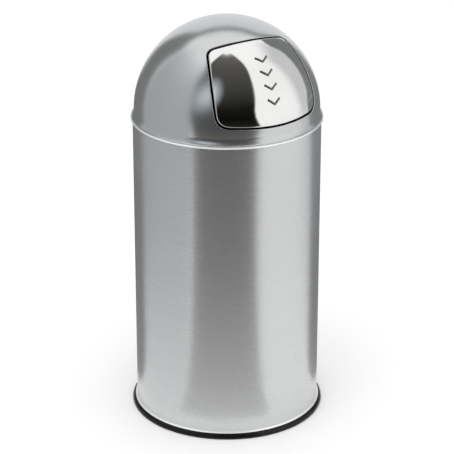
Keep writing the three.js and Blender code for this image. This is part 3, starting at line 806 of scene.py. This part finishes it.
# The flap's sheet as one closed section: from the middle of the face out to the edge, round the
# turned-in hem, and back along the inside to the middle.
def flapGrid(count=440, rows=160, insideRows=40, edge=0.0013, insideEdge=1.6):
    outline, normal = openingOutline(opening["gap"], count)
    wall = dome["wall"]
    rolled, hem = hemRows(outline, -normal, edge, opening["flapHem"], wall)

    def fan(offset, shares, distance):
        rim = outline - normal * offset
        across, up = shares[:, None] * rim[:, 0], shares[:, None] * rim[:, 1]
        return fromFace(across, up, distance + arrows["height"] * pressedMarks(across, up))

    outer = fan(edge, np.linspace(0, 1, rows), dome["radius"])
    inner = fan(insideEdge * wall, np.linspace(1, 0, insideRows), dome["radius"] - wall)
    parts = [outer, *rolled[1:], *hem, inner]
    # The hem rows take the third finish, which is painted shade; the inside rows take the second,
    # partly painted shade.
    finishes = [0] * len(rolled) + [2] * len(hem) + [1]
    return np.concatenate(parts), np.repeat(finishes, [len(part) for part in parts])


flapPoints, flapFinishes = flapGrid()
flapSheet = surfaceFromGrid("flap_sheet", flapPoints, wrapRows=False, finishes=flapFinishes)
settle(flapSheet, (flapSteel, insideSteelPaintedShade, hemPaintedShade), "flap", "polished_steel", "flap_skin")


# The marks as an attribute of the mesh: the same ridge, on the points of the outer face only.
def markPressed(mesh):
    points = np.empty(len(mesh.vertices) * 3, np.float32)
    mesh.vertices.foreach_get("co", points)
    x, y, z = points.reshape(-1, 3).T
    up = y * math.sin(opening["tilt"]) + (z - dome["centre"]) * math.cos(opening["tilt"])
    out = (z - dome["centre"]) * math.sin(opening["tilt"]) - y * math.cos(opening["tilt"])
    outside = x**2 + up**2 + out**2 > (dome["radius"] - 0.2 * dome["wall"]) ** 2
    dark = np.clip(arrows["toneGain"] * pressedMarks(x, up), 0, 1)
    values = np.where(outside, dark, 0).astype(np.float32)
    mesh.attributes.new("pressed", "FLOAT", "POINT").data.foreach_set("value", values)


markPressed(flapSheet.data)
print("flap made")

hinge = dict(
    rod=0.003,
    stop=0.002,
    stopArm=0.0105,
    stopAngle=math.radians(-20),
    bushWall=0.0017,
    bushFlange=0.0074,
    flangeWall=0.0012,
    clipWall=0.002,
    clipRim=0.002,
    ease=0.0003,
)
hingeLow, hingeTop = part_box("hinge_rod")
hinge["end"] = hingeTop.x
hinge["place"] = ((hingeLow.y + hingeTop.y) / 2, (hingeLow.z + hingeTop.z) / 2)
stopLow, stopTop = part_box("stop_rod")
hinge["stopPlace"] = ((stopLow.y + stopTop.y) / 2, (stopLow.z + stopTop.z) / 2)


# A rod whose ends are chamfered.
def rodProfile(radius):
    ease = hinge["ease"]
    half = [(radius, hinge["end"] - 2 * ease), (radius - ease, hinge["end"]), (0, hinge["end"])]
    return np.array([(r, -x) for r, x in half[::-1]] + half)


# A flanged sleeve, from its inner end out to its flange.
def bushProfile():
    inner = hinge["rod"] + fit["running"]
    outer = inner + hinge["bushWall"]
    low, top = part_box("hinge_bush_right")
    flange = top.x - hinge["flangeWall"]
    corners = [(inner, low.x), (outer, low.x), (outer, flange), (hinge["bushFlange"], flange),
               (hinge["bushFlange"], top.x), (inner, top.x)]
    return roundedCorners(corners, hinge["ease"], closed=True)


# A push-on clip: a disc with a turned-up crown.
def clipProfile(rod, node):
    inner, rim = rod + fit["running"], rod + hinge["clipRim"]
    low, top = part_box(node)
    shoulder = low.x + 0.5 * hinge["clipWall"]
    crown = rod + 0.6 * hinge["clipRim"]
    corners = [(inner, low.x), (rim, low.x), (rim, shoulder), (crown, top.x), (inner, top.x)]
    return roundedCorners(corners, hinge["ease"], closed=True)


spring = dict(wire=0.0008, radius=0.0046, turns=6, leg=0.013)
spring["start"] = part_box("return_spring_right")[0].x + spring["wire"]
spring["end"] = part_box("return_spring_right")[1].x - spring["wire"]


# The spring's middle line about the hinge: a straight leg, a helix that starts below the rod,
# and a straight leg that leaves it under the stop rod.
def springPath(side):
    stand = (spring["radius"] - hinge["stop"] - spring["wire"] - fit["touch"]) / hinge["stopArm"]
    lean = math.acos(stand) - math.pi / 2 - hinge["stopAngle"]
    sweep = 2 * math.pi * spring["turns"] - lean
    angle = np.linspace(0, sweep, 32 * spring["turns"]) - math.pi / 2
    along = np.linspace(spring["start"], spring["end"], len(angle))
    radius = spring["radius"]
    coil = np.stack([along, radius * np.cos(angle), radius * np.sin(angle)], 1)

    def leg(point, turn, way):
        away = np.linspace(0, spring["leg"], 8)[1:, None] * way
        return point + away * np.array([0, -math.sin(turn), math.cos(turn)])

    path = np.concatenate([leg(coil[0], angle[0], -1)[::-1], coil, leg(coil[-1], angle[-1], 1)])
    y = path[:, 1] * math.sin(opening["tilt"]) - path[:, 2] * math.cos(opening["tilt"])
    z = path[:, 1] * math.cos(opening["tilt"]) + path[:, 2] * math.sin(opening["tilt"])
    return np.stack([side * path[:, 0], hinge["place"][0] + y, hinge["place"][1] + z], 1)


for rodName, radius, place in (
    ("hinge", hinge["rod"], hinge["place"]),
    ("stop", hinge["stop"], hinge["stopPlace"]),
):
    rod = turnedAlongX(f"{rodName}_rod_turned", rodProfile(radius), place)
    settle(rod, zinc, "dome", "zinc_plated", f"{rodName}_rod")
    for sideName, side in sides:
        profile = clipProfile(radius, f"{rodName}_clip_right")
        clip = turnedAlongX(f"{rodName}_clip_turned_{sideName}", profile, place, side)
        settle(clip, zinc, "dome", "zinc_plated", f"{rodName}_clip_{sideName}")
for sideName, side in sides:
    bush = turnedAlongX(f"bush_turned_{sideName}", bushProfile(), hinge["place"], side)
    settle(bush, whiteNylon, "flap", "white_nylon", f"hinge_bush_{sideName}")
    wire = tubeAlong(f"spring_wire_{sideName}", springPath(side), spring["wire"], (1, 0.3, 0.2), 12)
    settle(wire, zinc, "dome", "zinc_plated", f"return_spring_{sideName}")
    for node in (f"hinge_bracket_{sideName}", f"flap_ear_{sideName}"):
        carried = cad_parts[node]
        carried.data.materials.clear()
        carried.data.materials.append(zinc)
print("hinge made")

studio = dict(
    azimuth=-31.3,  # the camera's, about the upright axis, in degrees
    distance=3.440,
    height=1.7807,
    pitch=0.394,
    lens=158.6,
    wallRadius=6.0,
    wallCentre=0.62,
)

# Panels that only reflections see. Azimuths run from the camera to its right, and elevations from
# the dome's middle. Edges and levels are given at elevations, and change evenly between them.
panels = [
    dict(name="left_scrim", left=[(0, -123)], right=[(0, -38)], top=70, topSoft=26, soft=8, fade=0.5,
         tint=(0.955, 1.0, 1.02), slope=0.16,
         level=[(-50, 0.44), (-22, 0.47), (0, 0.46), (28, 0.50), (45, 0.62), (60, 0.76)]),
    dict(name="right_light", left=[(0, 34)], right=[(0, 103)], top=70, topSoft=16, soft=8, fade=0.5,
         tint=(1.0, 1.0, 0.995), slope=-0.06,
         level=[(-22, 0.90), (0, 0.96), (50, 0.95), (70, 0.97)]),
    dict(name="right_scrim", left=[(0, 90)], right=[(0, 140)], top=64, topSoft=22, soft=16, fade=0.5,
         tint=(0.99, 1.0, 1.01), level=[(-22, 0.72), (0, 0.60), (45, 0.60)]),
    dict(name="rear_scrim", left=[(0, 148)], right=[(0, 212)], top=60, topSoft=6, soft=4, fade=0.5,
         tint=(0.985, 1.0, 1.01), level=[(-22, 0.84), (0, 0.86), (40, 0.84)]),
    dict(name="rear_arch", left=[(0, 126)], right=[(0, 234)], low=44, top=57, topSoft=4, soft=6,
         bow=32, tint=(0.97, 1.0, 1.02), level=[(40, 0.10), (60, 0.12)]),
    dict(name="left_flag", left=[(-55, -195), (-40, -184), (-10, -162), (20, -156)],
         right=[(-66, -92), (-61, -97), (-50, -106), (-40, -111), (-20, -115), (20, -119),
                (45, -119)],
         top=48, topSoft=8, soft=6, fade=0.12, tint=(0.98, 1.02, 1.0),
         level=[(-60, 0.05), (-40, 0.10), (-22, 0.18), (45, 0.16)]),
    dict(name="right_flag",
         left=[(-66, 92), (-61, 97), (-50, 105), (-40, 110), (-25, 116), (-12, 112), (-5, 113),
               (0, 117), (10, 120), (45, 130)],
         right=[(-55, 195), (-40, 184), (-10, 160), (10, 155), (24, 152)],
         top=50, topSoft=8, soft=4, fade=0.12, tint=(0.98, 1.0, 1.02),
         level=[(-60, 0.06), (-40, 0.12), (-22, 0.21), (45, 0.19)]),
    dict(name="front_flag", left=[(-23, -40), (0, -45), (25, -49), (50, -51)],
         right=[(-23, 35.5), (-16, 38), (-8, 42), (-3, 39), (4, 36.5), (12, 36), (24, 39),
                (47, 44), (66, 51)],
         top=87, topSoft=4, soft=3, fade=0.3, tint=(1.03, 1.0, 0.93),
         level=[(-22, 0.10), (-12, 0.02), (4, 0.004), (16, 0.010), (40, 0.05), (66, 0.085),
                (86, 0.13)]),
]
glowPanel = dict(name="front_glow", azimuth=-28, elevation=30, wide=27, tall=26, lean=10, level=0.84)


def smooth(value):
    value = np.clip(value, 0, 1)
    return value * value * (3 - 2 * value)


def stops(pairs, at):
    return np.interp(at, [p[0] for p in pairs], [p[1] for p in pairs])


# A place for each azimuth and elevation: on the far round above the floor, and below it on the
# floor, where the line of sight from the dome's middle comes down.
def studioPlace(azimuth, elevation, lift):
    turn = np.radians(azimuth + studio["azimuth"])
    rise = np.radians(elevation)
    down = np.maximum(-np.tan(rise), 1e-6)
    onFloor = studio["wallCentre"] / down
    onWall = studio["wallRadius"] * np.cos(rise)
    radius = np.minimum(onWall, onFloor)
    height = np.maximum(studio["wallCentre"] + studio["wallRadius"] * np.sin(rise), 0) + lift
    grid = np.stack([radius * np.sin(turn), -radius * np.cos(turn), height + 0 * turn], axis=-1)
    return grid, radius


# An open sheet that glows by one attribute and is clear by another.
def glowingSheet(name, grid, level, cover, tint):
    rows, columns = grid.shape[:2]
    index = np.arange(rows * columns).reshape(rows, columns)
    quads = np.stack([index[:-1, :-1], index[:-1, 1:], index[1:, 1:], index[1:, :-1]], -1)
    mesh = bpy.data.meshes.new(name)
    mesh.from_pydata(grid.reshape(-1, 3).tolist(), [], quads.reshape(-1, 4).tolist())
    for key, values in (("level", level), ("cover", cover)):
        mesh.attributes.new(key, "FLOAT", "POINT").data.foreach_set("value", values.ravel())
    material = bpy.data.materials.new(name)
    material.use_nodes = True
    nodes, links = material.node_tree.nodes, material.node_tree.links
    nodes.clear()
    levelValue = addNode(nodes, "ShaderNodeAttribute", attribute_name="level")
    coverValue = addNode(nodes, "ShaderNodeAttribute", attribute_name="cover")
    glow = addNode(nodes, "ShaderNodeEmission")
    glow.inputs["Color"].default_value = (*tint, 1)
    clear = addNode(nodes, "ShaderNodeBsdfTransparent")
    mix = addNode(nodes, "ShaderNodeMixShader")
    output = addNode(nodes, "ShaderNodeOutputMaterial")
    links.new(levelValue.outputs["Fac"], glow.inputs["Strength"])
    links.new(coverValue.outputs["Fac"], mix.inputs["Fac"])
    links.new(clear.outputs[0], mix.inputs[1])
    links.new(glow.outputs[0], mix.inputs[2])
    links.new(mix.outputs[0], output.inputs["Surface"])
    material.surface_render_method = "BLENDED"
    sheet = bpy.data.objects.new(name, mesh)
    bpy.context.scene.collection.objects.link(sheet)
    sheet.data.materials.append(material)
    sheet.visible_camera = False
    sheet.visible_diffuse = False
    sheet.visible_shadow = False
    sheet.visible_transmission = False


# A panel's cover eases in from its side and top edges, and near the object it gives way to the
# floor by a power of the distance.
def makePanel(panel, order, columns=72, rows=150, nearest=0.2, full=1.15):
    low = panel.get("low", -71)
    elevation = np.linspace(low, panel["top"], rows)[:, None]
    left, right = stops(panel["left"], elevation), stops(panel["right"], elevation)
    across = np.linspace(0, 1, columns)[None] * (right - left)
    bow = panel.get("bow", 0) * (1 - np.cos(np.radians(left + across - 180)))
    grid, radius = studioPlace(left + across, elevation - bow, 0.002 * order)
    cover = smooth(across / panel["soft"]) * smooth((right - left - across) / panel["soft"])
    cover = cover * smooth((panel["top"] - elevation) / panel["topSoft"])
    if "low" in panel:
        cover = cover * smooth((elevation - low) / panel["topSoft"])
    else:
        cover = cover * np.clip((radius - nearest) / (full - nearest), 0, 1) ** panel["fade"]
    grid = grid * (1 - 0.004 * order * (elevation[..., None] > 0))
    slant = 1 + panel.get("slope", 0) * (across / (right - left) - 0.5)
    level = stops(panel["level"], elevation) * slant
    glowingSheet(panel["name"], grid, level, cover, panel["tint"])


for order, panel in enumerate(panels, start=1):
    makePanel(panel, order)


# A soft round lamp in front of the dark panel: its cover falls off like a bell.
def makeGlow(panel, order, steps=60):
    share = np.linspace(-1, 1, steps)
    across, up = np.meshgrid(share, share)
    elevation = panel["elevation"] + panel["tall"] * up + panel["lean"] * across
    grid, _ = studioPlace(panel["azimuth"] + panel["wide"] * across, elevation, 0)
    reach = np.hypot(across, up)
    cover = np.exp(-((2.4 * reach) ** 2) / 2) * smooth((1 - reach) / 0.3)
    level = np.full_like(cover, panel["level"])
    glowingSheet(panel["name"], grid * (1 - 0.004 * order), level, cover, (0.93, 1.0, 1.08))


makeGlow(glowPanel, len(panels) + 1)


def makeFloor(reach=12.0):
    corners = [(-reach, -reach, 0), (reach, -reach, 0), (reach, reach, 0), (-reach, reach, 0)]
    mesh = bpy.data.meshes.new("floor")
    mesh.from_pydata(corners, [], [(0, 1, 2, 3)])
    floor = bpy.data.objects.new("floor", mesh)
    bpy.context.scene.collection.objects.link(floor)
    material, nodes, links, shader = newMaterial("white floor")
    shader.inputs["Base Color"].default_value = (0.98, 0.98, 0.98, 1)
    shader.inputs["Roughness"].default_value = 1
    shader.inputs["Specular IOR Level"].default_value = 0
    mesh.materials.append(material)


makeFloor()


def makeWorld(level=1.0):
    world = bpy.data.worlds.new("studio")
    bpy.context.scene.world = world
    world.use_nodes = True
    background = world.node_tree.nodes["Background"]
    background.inputs["Color"].default_value = (1, 1, 1, 1)
    background.inputs["Strength"].default_value = level


makeWorld()


def makeLamp(name, place, size, power):
    data = bpy.data.lights.new(name, "AREA")
    data.shape = "SQUARE"
    data.size = size
    data.energy = power
    lamp = bpy.data.objects.new(name, data)
    lamp.location = place
    aim = Vector((0, 0, 0.3)) - Vector(place)
    lamp.rotation_mode = "QUATERNION"
    lamp.rotation_quaternion = aim.to_track_quat("-Z", "Y")
    lamp.visible_glossy = False
    bpy.context.scene.collection.objects.link(lamp)


makeLamp("key lamp", (-1.0, -1.0, 3.4), 2.2, 24)


def makeCamera():
    data = bpy.data.cameras.new("camera")
    data.lens = studio["lens"]
    data.sensor_width = 36
    camera = bpy.data.objects.new("camera", data)
    turn = math.radians(studio["azimuth"])
    camera.location = (
        math.sin(turn) * studio["distance"],
        -math.cos(turn) * studio["distance"],
        studio["height"],
    )
    camera.rotation_euler = (math.pi / 2 - studio["pitch"], 0, turn)
    bpy.context.scene.collection.objects.link(camera)
    bpy.context.scene.camera = camera


makeCamera()
bpy.context.scene.view_settings.view_transform = "Standard"
print("studio made")
